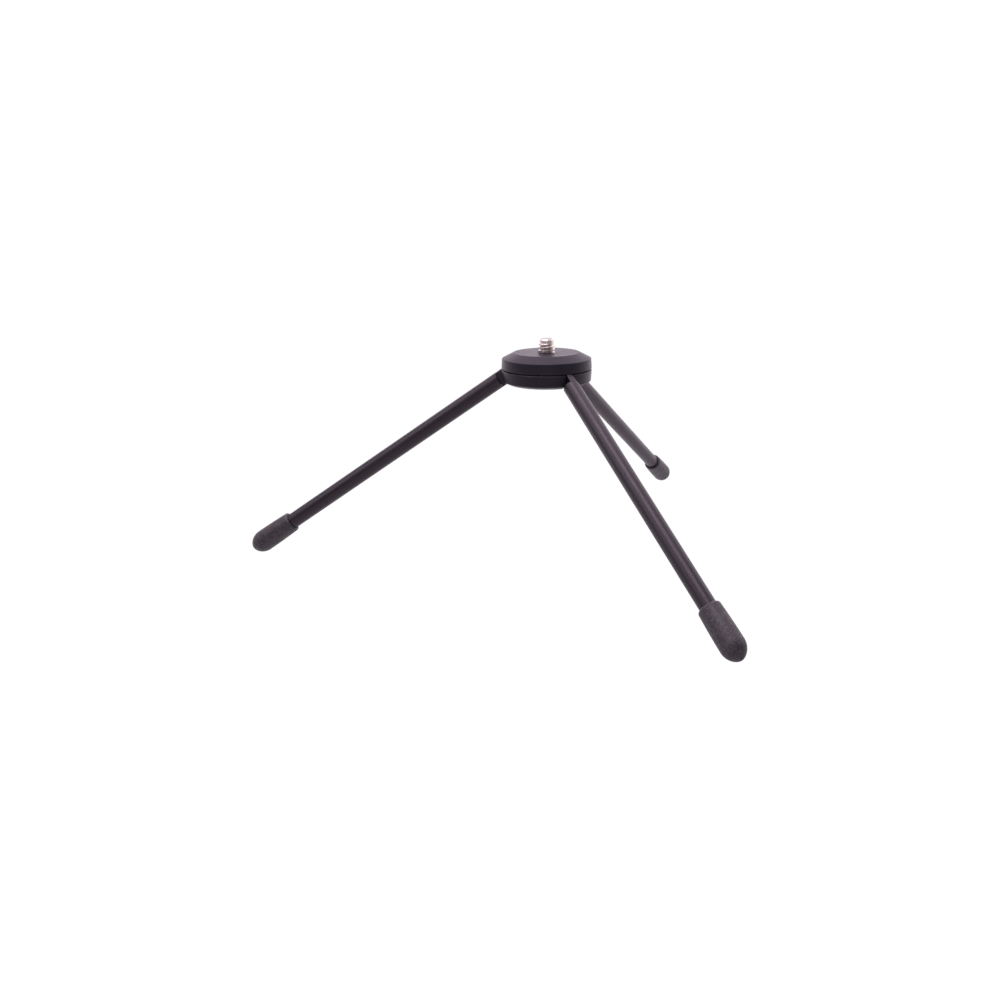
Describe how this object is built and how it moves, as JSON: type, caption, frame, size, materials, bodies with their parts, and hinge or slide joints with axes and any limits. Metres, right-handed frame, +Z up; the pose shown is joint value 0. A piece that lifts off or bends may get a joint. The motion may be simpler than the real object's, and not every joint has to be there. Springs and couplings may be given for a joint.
{
  "type": "mini tabletop tripod",
  "caption": "Folding desktop tripod for a webcam or small camera: round hub with a camera screw, hinged round legs and rubber feet.",
  "frame": {"origin": "on the camera screw's axis, in the flat top face of the hub's cap, where a camera's base sits", "axes": "+Z up along the camera screw; leg 1 points to -Y, legs 2 and 3 follow anticlockwise seen from above; legs drawn open, as the tripod stands"},
  "size_m": [0.1986, 0.1731, 0.0827],
  "materials": {
    "hub_black": "satin black anodised, finely bead blasted",
    "leg_black": "satin black anodised drawn rod",
    "foot_rubber": "matte moulded rubber, slightly grainy",
    "stud_metal": "bright nickel plated steel",
    "small_screw": "black oxide steel",
    "pin_steel": "ground steel dowel",
    "washer_nylon": "black nylon"
  },
  "bodies": {
    "hub": {"hub_cap": "hub_black", "hub_base": "hub_black", "mount_screw": "stud_metal", "clamp_screw_1": "small_screw", "clamp_screw_2": "small_screw", "clamp_screw_3": "small_screw", "pivot_pin_1": "pin_steel", "friction_washer_1a": "washer_nylon", "friction_washer_1b": "washer_nylon", "pivot_pin_2": "pin_steel", "friction_washer_2a": "washer_nylon", "friction_washer_2b": "washer_nylon", "pivot_pin_3": "pin_steel", "friction_washer_3a": "washer_nylon", "friction_washer_3b": "washer_nylon"},
    "leg_1": {"leg_rod_1": "leg_black", "rubber_foot_1": "foot_rubber"},
    "leg_2": {"leg_rod_2": "leg_black", "rubber_foot_2": "foot_rubber"},
    "leg_3": {"leg_rod_3": "leg_black", "rubber_foot_3": "foot_rubber"}
  },
  "joints": [
    {"name": "leg_fold_1", "type": "hinge", "parent": "hub", "child": "leg_1", "pos_m": [0, -0.01156, -0.0061], "axis": [1, 0, 0], "range_deg": [0, 55.6]},
    {"name": "leg_fold_2", "type": "hinge", "parent": "hub", "child": "leg_2", "pos_m": [0.01001, 0.00578, -0.0061], "axis": [-0.5, 0.866, 0], "range_deg": [0, 55.6]},
    {"name": "leg_fold_3", "type": "hinge", "parent": "hub", "child": "leg_3", "pos_m": [-0.01001, 0.00578, -0.0061], "axis": [-0.5, -0.866, 0], "range_deg": [0, 55.6]}
  ]
}
